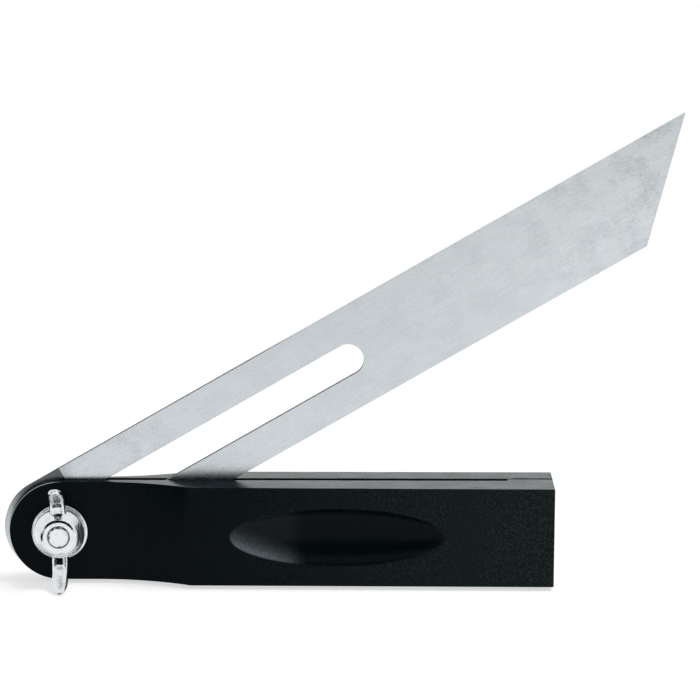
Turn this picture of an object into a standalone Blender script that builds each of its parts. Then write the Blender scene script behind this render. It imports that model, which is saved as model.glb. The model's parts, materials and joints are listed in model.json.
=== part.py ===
"""Sliding bevel: a slotted steel blade clamped between the two halves of a moulded handle.

Lengths are in metres. The pieces are laid out around the pivot: X runs along the handle, Y runs
away from the wing nut's side through the handle's thickness, and Z points up. At the end the
whole tool is stood on the XY plane, with the origin under the middle of its bounding box.
"""
import bmesh
import bpy
from math import asin, atan2, cos, pi, radians, sin
from mathutils import Matrix, Vector

# Blade
BLADE_REACH = 0.1910            # pivot to the acute tip, along the blade
BLADE_WIDTH = 0.0250
BLADE_THICKNESS = 0.0012
BLADE_ANGLE = radians(30.3)     # above the handle, as photographed
TIP_ANGLE = radians(45)
BLADE_PAST_PIVOT = 0.0013       # how far the round end's centre lies behind the pivot
BLADE_SLOT_WIDTH = 0.0080
BLADE_SLOT_END = 0.0860         # pivot to the centre of the slot's far round end

# Handle
HANDLE_REACH = 0.1263           # pivot to the far end
HANDLE_HEIGHT = 0.0258
FRONT_EAR_FACE = 0.0032         # distances from the blade's middle plane to the outer faces
FRONT_NEAR_FACE = 0.0090
FRONT_FAR_FACE = 0.0100
BACK_EAR_FACE = 0.0026
BACK_NEAR_FACE = 0.0080
BACK_FAR_FACE = 0.0080
SWELL_START = 0.0100            # pivot to where the thin ears begin to thicken
SWELL_END = 0.0335              # pivot to the crease where the grip begins
END_BLOCK_LENGTH = 0.0118       # closed end of the blade's slot to the far end
EDGE_ROUND = 0.0002
WALL = 0.0022

# Thumb scoops, one on each side
SCOOP_FROM_CREASE = 0.0100
SCOOP_FROM_END = 0.0280
SCOOP_HEIGHT = 0.0151
SCOOP_DEPTH = 0.0036
SCOOP_CENTRE_OUT = 0.0014       # height of the scooping ellipsoid's centre over the face

# Hollows inside the grip
RIB_THICKNESS = 0.0016
HOLLOW_ROUND = 0.0008
SHALLOW_HOLLOWS = 4

# Clamp hardware, metric size 5
BOLT_RADIUS = 0.0024
BOLT_PROUD = 0.0071             # front ear's face to the bolt's end
BOLT_CHAMFER = 0.0005
BOLT_HEAD_RADIUS = 0.0062
BOLT_HEAD_RISE = 0.0027
BOLT_HEAD_RIM = 0.0006
BOLT_NECK_STEP = 0.0001         # how far the square neck's flats stand out from the shank
FRICTION_WASHER_RADIUS = 0.0080
FRICTION_WASHER_THICKNESS = 0.0003
FLAT_WASHER_RADIUS = 0.0072
FLAT_WASHER_THICKNESS = 0.0012
FLAT_WASHER_ROUND = 0.0002

# Wing nut
HUB_BASE_RADIUS = 0.0065
HUB_TOP_RADIUS = 0.0044
HUB_HEIGHT = 0.0047
HUB_ROUND = 0.0005
WING_ROOT_HEIGHT = 0.0024       # nut's base to the middle of the wings' roots, on the bolt's axis
WING_SHOULDER = 0.0086          # bolt's axis to the bend between a wing's root and its leg
WING_SHOULDER_HEIGHT = 0.0032   # nut's base to the same bend
WING_REACH = 0.0136             # bolt's axis to the middle of a wing's end
WING_RISE = 0.0105              # nut's base to the middle of a wing's end
WING_ROOT_DEPTH = 0.0036
WING_END_DEPTH = 0.0020
WING_ROOT_THICKNESS = 0.0056
WING_END_THICKNESS = 0.0038
WING_END_LENGTH = 0.0024        # the stretch that a wing's end is rounded over, seen from the front
WING_END_ROUND = 0.0009         # the same, seen from the side
WING_BEND_SHARE = 0.86          # how near the bend's handles lie to its corner, for a tighter bend
WING_NARROWING_SHARE = 0.5      # how much narrower the roots are towards the viewer
WING_TURN = radians(2.1)        # how far the wings are turned from upright

# Screws and locating peg in the solid end of the handle
SCREW_RADIUS = 0.0015
SCREW_LENGTH = 0.0110
SCREW_POINT = 0.0020
SCREW_HEAD_RADIUS = 0.0029
SCREW_HEAD_HEIGHT = 0.0018
SCREW_HEAD_ROUND = 0.0005
SCREW_FROM_EDGE = 0.0054        # handle's upper or lower edge to the screw's middle
CROSS_WIDTH = 0.0008
CROSS_LENGTH = 0.0034
CROSS_DEPTH = 0.0011
COUNTERBORE_DEPTH = 0.0026
PEG_RADIUS = 0.0020
PEG_LENGTH = 0.0040

# Fits and working values
CLEARANCE = 0.0003
OVERRUN = 0.0020                # how far a cutter runs past what it cuts
WELD = 0.00001
TURN_STEPS = 48
SMALL_TURN_STEPS = 24
ARC_STEPS = 40
SWELL_STEPS = 12
SCOOP_SEGMENTS = 72
SCOOP_RINGS = 36
WING_SEGMENTS = 24
WING_RINGS = 48
SMOOTH_ANGLE = radians(30)
SHARP_EDGE_ANGLE = radians(45)
FLAT_ANGLE = radians(0.2)

# Values that follow
slot_wall = BLADE_THICKNESS / 2 + CLEARANCE
washer_seat = slot_wall + FRICTION_WASHER_THICKNESS + CLEARANCE
bolt_hole_radius = BOLT_RADIUS + CLEARANCE
bolt_neck_half = BOLT_RADIUS + BOLT_NECK_STEP
blade_above_pivot = BLADE_SLOT_WIDTH / 2 - bolt_hole_radius
flat_washer_back = FRONT_EAR_FACE + CLEARANCE
nut_base = flat_washer_back + FLAT_WASHER_THICKNESS + CLEARANCE
handle_slot_reach = HANDLE_REACH - END_BLOCK_LENGTH
end_block_middle = HANDLE_REACH - END_BLOCK_LENGTH / 2
scoop_start = SWELL_END + SCOOP_FROM_CREASE
scoop_end = HANDLE_REACH - SCOOP_FROM_END


def clear_scene():
    for item in list(bpy.data.objects):
        bpy.data.objects.remove(item, do_unlink=True)


def collection(name):
    made = bpy.data.collections.new(name)
    bpy.context.scene.collection.children.link(made)
    return made


def material(name, colour, metallic, roughness):
    made = bpy.data.materials.new(name)
    made.use_nodes = True
    shader = made.node_tree.nodes["Principled BSDF"]
    shader.inputs["Base Color"].default_value = (*colour, 1)
    shader.inputs["Metallic"].default_value = metallic
    shader.inputs["Roughness"].default_value = roughness
    return made


def put(piece, group, parent):
    """Link a new object into its collection, under its parent."""
    group.objects.link(piece)
    piece.parent = parent
    return piece


def finish(piece, finish_material):
    """Give a piece its one material and shade its round faces smooth."""
    piece.data.materials.clear()
    piece.data.materials.append(finish_material)
    piece.data.shade_smooth()
    piece.data.set_sharp_from_angle(angle=SMOOTH_ANGLE)


def as_cutter(piece):
    piece.hide_render = True
    piece.display_type = 'WIRE'
    return piece


def boolean(piece, other, operation):
    modifier = piece.modifiers.new(other.name, 'BOOLEAN')
    modifier.operation = operation
    modifier.solver = 'EXACT'
    modifier.object = other


def freeze(piece):
    """Replace a piece's mesh by the one its modifiers make."""
    bpy.context.view_layer.update()
    graph = bpy.context.evaluated_depsgraph_get()
    mesh = bpy.data.meshes.new_from_object(piece.evaluated_get(graph))
    piece.modifiers.clear()
    piece.data = mesh


def arc(centre_x, centre_y, radius, start, end, steps):
    """Points on an arc, with both of its ends; the angles are in radians."""
    turns = [start + (end - start) * step / steps for step in range(steps + 1)]
    return [(centre_x + radius * cos(turn), centre_y + radius * sin(turn)) for turn in turns]


def add_outline(curve, points, smooth):
    spline = curve.splines.new('BEZIER' if smooth else 'POLY')
    if smooth:
        spline.bezier_points.add(len(points) - 1)
        for point, (x, y) in zip(spline.bezier_points, points):
            point.co = (x, y, 0)
            point.handle_left_type = 'AUTO'
            point.handle_right_type = 'AUTO'
    else:
        spline.points.add(len(points) - 1)
        for point, (x, y) in zip(spline.points, points):
            point.co = (x, y, 0, 1)
    spline.use_cyclic_u = True


def plate(name, outlines, thickness, group, parent, smooth=False):
    """A flat plate from closed outlines in XY, centred on that plane, as a welded mesh."""
    curve = bpy.data.curves.new(name, 'CURVE')
    curve.dimensions = '2D'
    curve.fill_mode = 'BOTH'
    curve.extrude = thickness / 2
    curve.resolution_u = 4
    for points in outlines:
        add_outline(curve, points, smooth)
    drawn = put(bpy.data.objects.new(name + "_outline", curve), group, parent)
    bpy.context.view_layer.update()
    graph = bpy.context.evaluated_depsgraph_get()
    mesh = bpy.data.meshes.new_from_object(drawn.evaluated_get(graph))
    mesh.name = name
    shape = bmesh.new()
    shape.from_mesh(mesh)
    bmesh.ops.remove_doubles(shape, verts=shape.verts, dist=WELD)
    bmesh.ops.dissolve_limit(shape, angle_limit=FLAT_ANGLE, verts=shape.verts, edges=shape.edges)
    bmesh.ops.recalc_face_normals(shape, faces=shape.faces)
    shape.to_mesh(mesh)
    shape.free()
    piece = bpy.data.objects.new(name, mesh)
    put(piece, group, parent)
    piece.matrix_world = drawn.matrix_world
    bpy.data.objects.remove(drawn)
    return piece


def stand_plate(piece, middle):
    """Turn a plate drawn in XY into the XZ plane, with its middle at the given Y."""
    piece.data.transform(Matrix.Translation((0, middle, 0)) @ Matrix.Rotation(pi / 2, 4, 'X'))


def box(name, low, high, group, parent):
    """A box between two corners."""
    mesh = bpy.data.meshes.new(name)
    shape = bmesh.new()
    bmesh.ops.create_cube(shape, size=1)
    shape.to_mesh(mesh)
    shape.free()
    low, high = Vector(low), Vector(high)
    size = high - low
    mesh.transform(Matrix.Translation((low + high) / 2) @ Matrix.Diagonal((*size, 1)))
    return put(bpy.data.objects.new(name, mesh), group, parent)


def rod(name, radius, start, end, x, z, steps, group, parent):
    """A round rod along Y between two Y values, at the given X and Z."""
    mesh = bpy.data.meshes.new(name)
    shape = bmesh.new()
    bmesh.ops.create_cone(shape, cap_ends=True, segments=steps, radius1=radius, radius2=radius,
                          depth=abs(end - start))
    shape.to_mesh(mesh)
    shape.free()
    middle = Vector((x, (start + end) / 2, z))
    mesh.transform(Matrix.Translation(middle) @ Matrix.Rotation(pi / 2, 4, 'X'))
    return put(bpy.data.objects.new(name, mesh), group, parent)


def turned(name, profile, closed, steps, group, parent):
    """A turned piece: (radius, height) points turned round Z, the outer side run top to bottom."""
    mesh = bpy.data.meshes.new(name)
    edges = [(index, index + 1) for index in range(len(profile) - 1)]
    if closed:
        edges.append((len(profile) - 1, 0))
    mesh.from_pydata([(radius, 0, height) for radius, height in profile], edges, [])
    piece = put(bpy.data.objects.new(name, mesh), group, parent)
    turn = piece.modifiers.new("Turn", 'SCREW')
    turn.steps = steps
    turn.render_steps = steps
    turn.use_merge_vertices = True
    turn.merge_threshold = WELD
    return piece


def face_viewer(piece, y):
    """Lay a piece turned round Z along the bolt's axis, its heights counted towards the viewer."""
    piece.location = (0, y, 0)
    piece.rotation_euler = (pi / 2, 0, 0)


def swell(ear_face, near_face):
    """Plan points of the concave stretch between the thin ear and the crease."""
    run = SWELL_END - SWELL_START
    rise = near_face - ear_face
    radius = (run ** 2 + rise ** 2) / (2 * rise)
    turn = asin(run / radius)
    return arc(SWELL_START, ear_face + radius, radius, -pi / 2, -pi / 2 + turn, SWELL_STEPS)


def plan_outline(ear_face, near_face, far_face, inner):
    """A half seen from above: its outer faces, counted outwards, then the given inner points."""
    start = -(HANDLE_HEIGHT / 2 + OVERRUN)
    flare = (far_face - near_face) / (HANDLE_REACH - SWELL_END)
    outer = [(start, ear_face)] + swell(ear_face, near_face)
    outer.append((HANDLE_REACH + OVERRUN, far_face + flare * OVERRUN))
    return outer + inner


def side_outline():
    """The handle seen from the front: a round end about the pivot and a square far end."""
    half = HANDLE_HEIGHT / 2
    points = arc(0, 0, half, pi / 2, 3 * pi / 2, ARC_STEPS)
    return points + [(HANDLE_REACH, -half), (HANDLE_REACH, half)]


def round_outer_edges(piece, outward, ear_face):
    """Round the edges where the outer face meets the top, the bottom, the end and the ear."""
    shape = bmesh.new()
    shape.from_mesh(piece.data)
    bmesh.ops.dissolve_limit(shape, angle_limit=FLAT_ANGLE, verts=shape.verts, edges=shape.edges)
    limit = ear_face - EDGE_ROUND
    edges = [
        edge for edge in shape.edges
        if len(edge.link_faces) == 2
        and edge.calc_face_angle() > SHARP_EDGE_ANGLE
        and all(outward * vertex.co.y > limit for vertex in edge.verts)
    ]
    bmesh.ops.bevel(shape, geom=edges, offset=EDGE_ROUND, offset_type='OFFSET', segments=3,
                    profile=0.5, affect='EDGES', clamp_overlap=True)
    shape.to_mesh(piece.data)
    shape.free()


def handle_shell(name, outward, ear_face, near_face, far_face, inner, parts, cutters, datum):
    """One solid half: its plan run up and down, kept within the handle's side outline."""
    plan = plan_outline(ear_face, near_face, far_face, inner)
    plan = [(x, outward * y) for x, y in plan]
    piece = plate(name, [plan], HANDLE_HEIGHT + 2 * OVERRUN, parts, datum)
    side = plate(name + "_side", [side_outline()], 2 * (far_face + OVERRUN), cutters, datum)
    stand_plate(side, 0)
    boolean(piece, side, 'INTERSECT')
    freeze(piece)
    bpy.data.objects.remove(side)
    round_outer_edges(piece, outward, ear_face)
    return piece


def cut_scoop(piece, outward, near_face, far_face, cutters, datum):
    """The smooth oval hollow for the thumb."""
    scoop_middle = (scoop_start + scoop_end) / 2
    share = (scoop_middle - SWELL_END) / (HANDLE_REACH - SWELL_END)
    face = near_face + (far_face - near_face) * share
    depth_radius = SCOOP_DEPTH + SCOOP_CENTRE_OUT
    spread = 1 / (1 - (SCOOP_CENTRE_OUT / depth_radius) ** 2) ** 0.5
    mesh = bpy.data.meshes.new(piece.name + "_scoop")
    shape = bmesh.new()
    bmesh.ops.create_uvsphere(shape, u_segments=SCOOP_SEGMENTS, v_segments=SCOOP_RINGS, radius=1)
    shape.to_mesh(mesh)
    shape.free()
    size = (spread * (scoop_end - scoop_start) / 2, spread * SCOOP_HEIGHT / 2, depth_radius)
    turn = Matrix.Rotation(pi / 2, 4, 'X')
    middle = Matrix.Translation((scoop_middle, outward * (face + SCOOP_CENTRE_OUT), 0))
    mesh.transform(middle @ turn @ Matrix.Diagonal((*size, 1)))
    scoop = as_cutter(put(bpy.data.objects.new(mesh.name, mesh), cutters, datum))
    boolean(piece, scoop, 'DIFFERENCE')


def hollow_spans():
    """Start and end of each hollow along the grip: one at each end, the rest behind the scoop."""
    deep = [
        (SWELL_END, scoop_start - WALL),
        (scoop_end + WALL, handle_slot_reach - WALL),
    ]
    first = scoop_start - WALL + RIB_THICKNESS
    last = scoop_end + WALL - RIB_THICKNESS
    pitch = (last - first + RIB_THICKNESS) / SHALLOW_HOLLOWS
    starts = [first + pitch * index for index in range(SHALLOW_HOLLOWS)]
    shallow = [(start, start + pitch - RIB_THICKNESS) for start in starts]
    return deep, shallow


def cut_hollows(piece, outward, near_face, cutters, datum):
    """Moulded hollows that open onto the blade's slot, shallower behind the thumb scoop."""
    deep, shallow = hollow_spans()
    spans = [(span, near_face - WALL) for span in deep]
    spans += [(span, near_face - SCOOP_DEPTH - WALL) for span in shallow]
    half = HANDLE_HEIGHT / 2 - WALL
    for index, ((start, end), floor) in enumerate(spans):
        near_y, far_y = sorted((0, outward * floor))
        name = f"{piece.name}_hollow_{index + 1}"
        cutter = as_cutter(box(name, (start, near_y, -half), (end, far_y, half), cutters, datum))
        rounding = cutter.modifiers.new("Rounding", 'BEVEL')
        rounding.width = HOLLOW_ROUND
        rounding.segments = 2
        boolean(piece, cutter, 'DIFFERENCE')


def cut_rod(piece, label, radius, start, end, x, z, steps, cutters, datum):
    """A round hole or recess along Y."""
    name = f"{piece.name}_{label}"
    cutter = as_cutter(rod(name, radius, start, end, x, z, steps, cutters, datum))
    boolean(piece, cutter, 'DIFFERENCE')


def screw_places():
    rise = HANDLE_HEIGHT / 2 - SCREW_FROM_EDGE
    return [("upper", rise), ("lower", -rise)]


def front_half(parts, cutters, datum, plastic):
    inner = [
        (HANDLE_REACH + OVERRUN, CLEARANCE - slot_wall),
        (handle_slot_reach, CLEARANCE - slot_wall),
        (handle_slot_reach, slot_wall),
        (-(HANDLE_HEIGHT / 2 + OVERRUN), slot_wall),
    ]
    piece = handle_shell("front_half", -1, FRONT_EAR_FACE, FRONT_NEAR_FACE, FRONT_FAR_FACE, inner,
                         parts, cutters, datum)
    peg = rod("front_half_peg", PEG_RADIUS, slot_wall - CLEARANCE - OVERRUN, slot_wall + PEG_LENGTH,
              end_block_middle, 0, SMALL_TURN_STEPS, cutters, datum)
    boolean(piece, as_cutter(peg), 'UNION')
    cut_scoop(piece, -1, FRONT_NEAR_FACE, FRONT_FAR_FACE, cutters, datum)
    cut_hollows(piece, -1, FRONT_NEAR_FACE, cutters, datum)
    cut_rod(piece, "bolt_hole", bolt_hole_radius, 0, -FRONT_EAR_FACE - OVERRUN, 0, 0,
            TURN_STEPS, cutters, datum)
    cut_rod(piece, "washer_seat", FRICTION_WASHER_RADIUS + CLEARANCE, 0, -washer_seat, 0, 0,
            TURN_STEPS, cutters, datum)
    pilot_end = BACK_FAR_FACE - COUNTERBORE_DEPTH - SCREW_LENGTH - CLEARANCE
    for label, height in screw_places():
        cut_rod(piece, label + "_pilot", SCREW_RADIUS + CLEARANCE, slot_wall + OVERRUN, pilot_end,
                end_block_middle, height, SMALL_TURN_STEPS, cutters, datum)
    finish(piece, plastic)


def back_half(parts, cutters, datum, plastic):
    inner = [
        (HANDLE_REACH + OVERRUN, slot_wall),
        (-(HANDLE_HEIGHT / 2 + OVERRUN), slot_wall),
    ]
    piece = handle_shell("back_half", 1, BACK_EAR_FACE, BACK_NEAR_FACE, BACK_FAR_FACE, inner,
                         parts, cutters, datum)
    cut_scoop(piece, 1, BACK_NEAR_FACE, BACK_FAR_FACE, cutters, datum)
    cut_hollows(piece, 1, BACK_NEAR_FACE, cutters, datum)
    cut_rod(piece, "washer_seat", FRICTION_WASHER_RADIUS + CLEARANCE, 0, washer_seat, 0, 0,
            TURN_STEPS, cutters, datum)
    half_neck = bolt_neck_half + CLEARANCE
    square = box("back_half_neck_hole", (-half_neck, 0, -half_neck),
                 (half_neck, BACK_EAR_FACE + OVERRUN, half_neck), cutters, datum)
    boolean(piece, as_cutter(square), 'DIFFERENCE')
    cut_rod(piece, "peg_socket", PEG_RADIUS + CLEARANCE, 0, slot_wall + PEG_LENGTH + CLEARANCE,
            end_block_middle, 0, SMALL_TURN_STEPS, cutters, datum)
    for label, height in screw_places():
        cut_rod(piece, label + "_screw_hole", SCREW_RADIUS + CLEARANCE, 0, BACK_FAR_FACE + OVERRUN,
                end_block_middle, height, SMALL_TURN_STEPS, cutters, datum)
        cut_rod(piece, label + "_counterbore", SCREW_HEAD_RADIUS + CLEARANCE,
                BACK_FAR_FACE - COUNTERBORE_DEPTH, BACK_FAR_FACE + OVERRUN,
                end_block_middle, height, TURN_STEPS, cutters, datum)
    finish(piece, plastic)


def blade(parts, swing_axis, steel):
    """The slotted blade, drawn along X about the pivot and swung up with its axis."""
    half = BLADE_WIDTH / 2
    high = blade_above_pivot + half
    low = blade_above_pivot - half
    corner = BLADE_REACH - BLADE_WIDTH / sin(TIP_ANGLE) * cos(TIP_ANGLE)
    edge = arc(-BLADE_PAST_PIVOT, blade_above_pivot, half, pi / 2, 3 * pi / 2, ARC_STEPS)
    edge += [(corner, low), (BLADE_REACH, high)]
    slot_radius = BLADE_SLOT_WIDTH / 2
    steps = SWELL_STEPS * 2
    slot = arc(-BLADE_PAST_PIVOT, blade_above_pivot, slot_radius, pi / 2, 3 * pi / 2, steps)
    slot += arc(BLADE_SLOT_END, blade_above_pivot, slot_radius, -pi / 2, pi / 2, steps)
    piece = plate("blade", [edge, slot], BLADE_THICKNESS, parts, swing_axis)
    stand_plate(piece, 0)
    finish(piece, steel)


def ring_profile(bore, radius, low, high, rounding):
    """The closed section of a washer, with its outer corners eased."""
    return [
        (bore, high),
        (radius - rounding, high),
        (radius, high - rounding),
        (radius, low + rounding),
        (radius - rounding, low),
        (bore, low),
    ]


def friction_washers(parts, swing_axis, metal):
    """A thin washer on each side of the blade, sunk in the ears and turning with the blade."""
    for name, side in (("front_friction_washer", 1), ("back_friction_washer", -1)):
        low, high = sorted((side * slot_wall, side * (slot_wall + FRICTION_WASHER_THICKNESS)))
        profile = ring_profile(bolt_hole_radius, FRICTION_WASHER_RADIUS, low, high,
                               FRICTION_WASHER_THICKNESS / 3)
        piece = turned(name, profile, True, TURN_STEPS, parts, swing_axis)
        face_viewer(piece, 0)
        freeze(piece)
        finish(piece, metal)


def bolt_profile():
    """Outer side of the bolt from its tip to its domed head; heights count towards the viewer."""
    tip = FRONT_EAR_FACE + BOLT_PROUD
    seat = -(BACK_EAR_FACE + CLEARANCE)
    dome_rise = BOLT_HEAD_RISE - BOLT_HEAD_RIM
    dome_radius = (BOLT_HEAD_RADIUS ** 2 + dome_rise ** 2) / (2 * dome_rise)
    spread = asin(BOLT_HEAD_RADIUS / dome_radius)
    dome = arc(0, seat - BOLT_HEAD_RISE + dome_radius, dome_radius, spread - pi / 2, -pi / 2, SWELL_STEPS)
    profile = [
        (0, tip),
        (BOLT_RADIUS - BOLT_CHAMFER, tip),
        (BOLT_RADIUS, tip - BOLT_CHAMFER),
        (BOLT_RADIUS, seat),
        (BOLT_HEAD_RADIUS, seat),
    ]
    profile += dome[:-1]
    return profile + [(0, seat - BOLT_HEAD_RISE)]


def clamp_bolt(parts, cutters, datum, metal):
    """A domed bolt whose short square neck is keyed in the back ear."""
    piece = turned("clamp_bolt", bolt_profile(), False, TURN_STEPS, parts, datum)
    face_viewer(piece, 0)
    freeze(piece)
    half = bolt_neck_half
    neck = box("clamp_bolt_neck", (-half, washer_seat, -half),
               (half, BACK_EAR_FACE + CLEARANCE + BOLT_HEAD_RIM, half), cutters, datum)
    boolean(piece, as_cutter(neck), 'UNION')
    finish(piece, metal)


def flat_washer(parts, nut_axis, metal):
    low = flat_washer_back
    high = low + FLAT_WASHER_THICKNESS
    profile = ring_profile(bolt_hole_radius, FLAT_WASHER_RADIUS, low, high, FLAT_WASHER_ROUND)
    piece = turned("flat_washer", profile, True, TURN_STEPS, parts, nut_axis)
    face_viewer(piece, 0)
    freeze(piece)
    finish(piece, metal)


def wing_line(share):
    """A point of a wing's middle line and its direction there, a share of the way to its end."""
    start = Vector((0, WING_ROOT_HEIGHT))
    bend = Vector((WING_SHOULDER, WING_SHOULDER_HEIGHT))
    end = Vector((WING_REACH, WING_RISE))
    handles = [start.lerp(bend, WING_BEND_SHARE), end.lerp(bend, WING_BEND_SHARE)]
    rest = 1 - share
    inner = start * rest ** 2 + handles[0] * 2 * rest * share + handles[1] * share ** 2
    outer = handles[0] * rest ** 2 + handles[1] * 2 * rest * share + end * share ** 2
    return inner * rest + outer * share, (outer - inner).normalized()


def fullness(left, round_length):
    """How full a rounded end is, from 1 to 0, with some length left to its tip."""
    past = max(0, 1 - left / round_length)
    return max(0, 1 - past ** 2) ** 0.5


def wing_point(on_ball):
    """Where a point of a unit ball, with its poles on X, lies on the bar that makes both wings."""
    share = abs(on_ball.x)
    (out, up), (run, climb) = wing_line(share)
    left = WING_REACH - out
    depth = WING_ROOT_DEPTH + (WING_END_DEPTH - WING_ROOT_DEPTH) * share
    thickness = WING_ROOT_THICKNESS + (WING_END_THICKNESS - WING_ROOT_THICKNESS) * share
    turn = atan2(on_ball.z, on_ball.y)
    narrowing = 1 - WING_NARROWING_SHARE * (1 - share) * sin(turn)
    inward = fullness(left, WING_END_ROUND) * depth / 2 * sin(turn)
    sideways = fullness(left, WING_END_LENGTH) * thickness / 2 * cos(turn) * narrowing
    side = 1 if on_ball.x > 0 else -1
    return Vector((side * (out - climb * inward), sideways, up + run * inward))


def wing_bar(cutters, nut_axis):
    """Both wings as one bar across the hub, with oval sections, bent shoulders and round ends."""
    mesh = bpy.data.meshes.new("wing_nut_wings")
    shape = bmesh.new()
    bmesh.ops.create_uvsphere(shape, u_segments=WING_SEGMENTS, v_segments=WING_RINGS, radius=1)
    bmesh.ops.transform(shape, matrix=Matrix.Rotation(pi / 2, 4, 'Y'), verts=shape.verts)
    for vertex in shape.verts:
        vertex.co = wing_point(vertex.co)
    shape.to_mesh(mesh)
    shape.free()
    upright = Matrix.Rotation(-pi / 2, 4, 'Z')
    mesh.transform(Matrix.Translation((0, 0, nut_base)) @ upright)
    wings = put(bpy.data.objects.new(mesh.name, mesh), cutters, nut_axis)
    face_viewer(wings, 0)
    return as_cutter(wings)


def wing_nut(parts, cutters, nut_axis, metal):
    """A conical hub with two wings, bored for the bolt."""
    top = nut_base + HUB_HEIGHT
    profile = [
        (0, top),
        (HUB_TOP_RADIUS - HUB_ROUND, top),
        (HUB_TOP_RADIUS, top - HUB_ROUND),
        (HUB_BASE_RADIUS, nut_base + HUB_ROUND),
        (HUB_BASE_RADIUS - HUB_ROUND, nut_base),
        (0, nut_base),
    ]
    piece = turned("wing_nut", profile, False, TURN_STEPS, parts, nut_axis)
    face_viewer(piece, 0)
    freeze(piece)
    boolean(piece, wing_bar(cutters, nut_axis), 'UNION')
    bore = rod("wing_nut_bore", bolt_hole_radius, -nut_base + OVERRUN, -top - OVERRUN, 0, 0,
               TURN_STEPS, cutters, nut_axis)
    boolean(piece, as_cutter(bore), 'DIFFERENCE')
    finish(piece, metal)


def screw_profile():
    """A pan-head screw: the point first, then the shank and the head."""
    return [
        (0, SCREW_LENGTH),
        (SCREW_RADIUS, SCREW_LENGTH - SCREW_POINT),
        (SCREW_RADIUS, 0),
        (SCREW_HEAD_RADIUS, 0),
        (SCREW_HEAD_RADIUS, -(SCREW_HEAD_HEIGHT - SCREW_HEAD_ROUND)),
        (SCREW_HEAD_RADIUS - SCREW_HEAD_ROUND, -SCREW_HEAD_HEIGHT),
        (0, -SCREW_HEAD_HEIGHT),
    ]


def handle_screws(parts, cutters, datum, metal):
    """Two cross-head screws, put in from the back, that hold the halves together."""
    seat = BACK_FAR_FACE - COUNTERBORE_DEPTH + CLEARANCE
    for label, height in screw_places():
        name = label + "_screw"
        piece = turned(name, screw_profile(), False, SMALL_TURN_STEPS, parts, datum)
        face_viewer(piece, seat)
        piece.location.x = end_block_middle
        piece.location.z = height
        for index in range(2):
            wide, tall = (CROSS_LENGTH, CROSS_WIDTH) if index else (CROSS_WIDTH, CROSS_LENGTH)
            low = (-wide / 2, -tall / 2, -SCREW_HEAD_HEIGHT - OVERRUN)
            high = (wide / 2, tall / 2, CROSS_DEPTH - SCREW_HEAD_HEIGHT)
            arm = as_cutter(box(f"{name}_cross_{index + 1}", low, high, cutters, piece))
            boolean(piece, arm, 'DIFFERENCE')
        finish(piece, metal)


def axis_empty(name, parent, turn=0):
    """An empty on the bolt's axis that carries the pieces turning about it."""
    empty = bpy.data.objects.new(name, None)
    bpy.context.scene.collection.objects.link(empty)
    empty.parent = parent
    empty.rotation_euler = (0, -turn, 0)
    return empty


def stand_on_origin(parts, datum):
    """Move the whole tool so that it stands on the origin, under its bounding box's middle."""
    bpy.context.view_layer.update()
    graph = bpy.context.evaluated_depsgraph_get()
    corners = []
    for piece in parts.objects:
        solid = piece.evaluated_get(graph)
        corners += [solid.matrix_world @ vertex.co for vertex in solid.data.vertices]
    low = [min(corner[axis] for corner in corners) for axis in range(3)]
    high = [max(corner[axis] for corner in corners) for axis in range(3)]
    datum.location = (-(low[0] + high[0]) / 2, -(low[1] + high[1]) / 2, -low[2])
    bpy.context.view_layer.update()


def main():
    clear_scene()
    parts = collection("sliding_bevel")
    cutters = collection("cutters")
    plastic = material("black_plastic", (0.012, 0.016, 0.018), 0, 0.45)
    blade_steel = material("blade_steel", (0.58, 0.62, 0.65), 1, 0.38)
    bright_plate = material("bright_plate", (0.78, 0.80, 0.82), 1, 0.16)
    dull_plate = material("dull_plate", (0.55, 0.56, 0.57), 1, 0.34)
    datum = axis_empty("datum", None)
    swing_axis = axis_empty("blade_swing_axis", datum, BLADE_ANGLE)
    nut_axis = axis_empty("wing_nut_axis", datum, WING_TURN)
    front_half(parts, cutters, datum, plastic)
    back_half(parts, cutters, datum, plastic)
    blade(parts, swing_axis, blade_steel)
    friction_washers(parts, swing_axis, dull_plate)
    clamp_bolt(parts, cutters, datum, bright_plate)
    flat_washer(parts, nut_axis, bright_plate)
    wing_nut(parts, cutters, nut_axis, bright_plate)
    handle_screws(parts, cutters, datum, dull_plate)
    stand_on_origin(parts, datum)


main()
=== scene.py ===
"""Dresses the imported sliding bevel: a moulded handle, a ground steel blade and plated hardware.

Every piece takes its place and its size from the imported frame. Lengths are in metres.
"""
import json
from math import atan2, copysign, cos, pi, radians, sin

import bmesh
import bpy
from bpy.props import FloatProperty, FloatVectorProperty, PointerProperty
from mathutils import Matrix, Vector

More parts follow.
